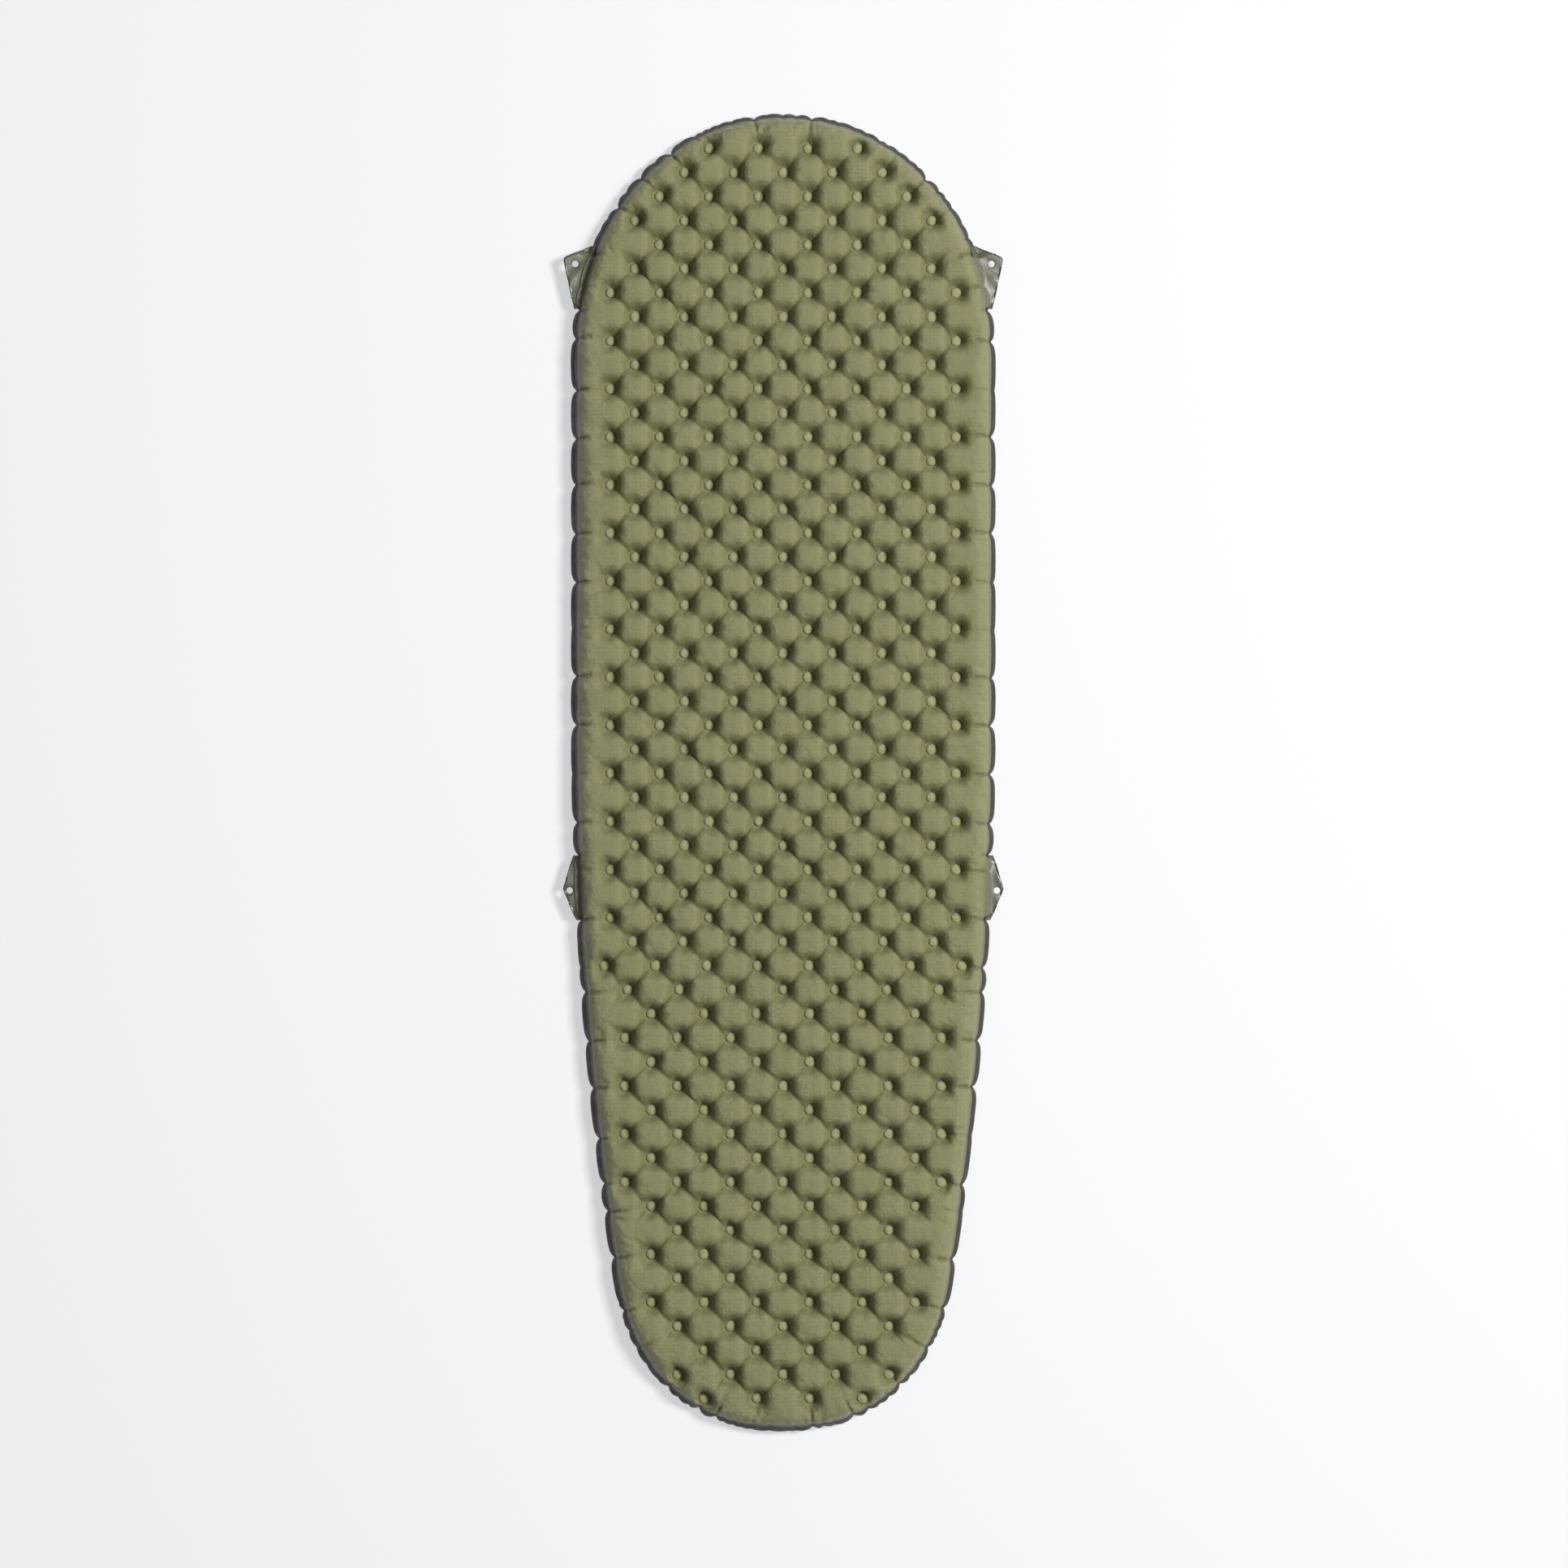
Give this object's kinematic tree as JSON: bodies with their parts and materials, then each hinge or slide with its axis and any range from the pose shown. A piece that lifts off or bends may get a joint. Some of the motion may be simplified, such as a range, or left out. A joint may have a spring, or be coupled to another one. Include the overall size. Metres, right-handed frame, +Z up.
{
  "type": "inflatable sleeping pad",
  "caption": "Mummy-shaped inflatable sleeping pad of two sheets welded at staggered dots and a rim flange, with tie-out tabs and a two-stage flat valve underneath.",
  "frame": {"origin": "under the middle of the pad, on the ground it lies on", "axes": "+Z up through the thickness, +Y towards the head end, +X to the right of a user lying face down with the head at +Y"},
  "size_m": [0.6104, 1.83, 0.055],
  "materials": {
    "top_fabric": "olive ripstop fabric with a satin coated face",
    "bottom_fabric": "dark coated fabric, matt",
    "tab_film": "grey-olive welded film",
    "foil_film": "thin metallised film",
    "valve_tpu": "moulded flexible plastic, satin",
    "seal_rubber": "soft grey silicone"
  },
  "bodies": {
    "pad": {"top_sheet": "top_fabric", "bottom_sheet": "bottom_fabric", "insulating_film": "foil_film", "shoulder_tab_left": "tab_film", "shoulder_tab_right": "tab_film", "side_tab_left": "tab_film", "side_tab_right": "tab_film", "valve_base": "valve_tpu", "valve_backing_ring": "tab_film", "plug_strap": "valve_tpu"},
    "plug": {"dump_plug": "valve_tpu", "plug_seal": "seal_rubber", "flap_pin": "valve_tpu", "cap_strap": "valve_tpu"},
    "cap": {"inflation_cap": "valve_tpu", "cap_seal": "seal_rubber"},
    "flap": {"check_flap": "seal_rubber"}
  },
  "joints": [
    {"name": "plug_hinge", "type": "hinge", "parent": "pad", "child": "plug", "pos_m": [-0.232, 0.5647, 0.006], "axis": [0, -1, 0], "range_deg": [0, 120]},
    {"name": "cap_hinge", "type": "hinge", "parent": "plug", "child": "cap", "pos_m": [-0.26, 0.5647, 0.0045], "axis": [0, 1, 0], "range_deg": [0, 130]},
    {"name": "flap_lift", "type": "slide", "parent": "plug", "child": "flap", "axis": [0, 0, 1], "range_m": [0, 0.0018], "stiffness_N_per_m": 5}
  ]
}
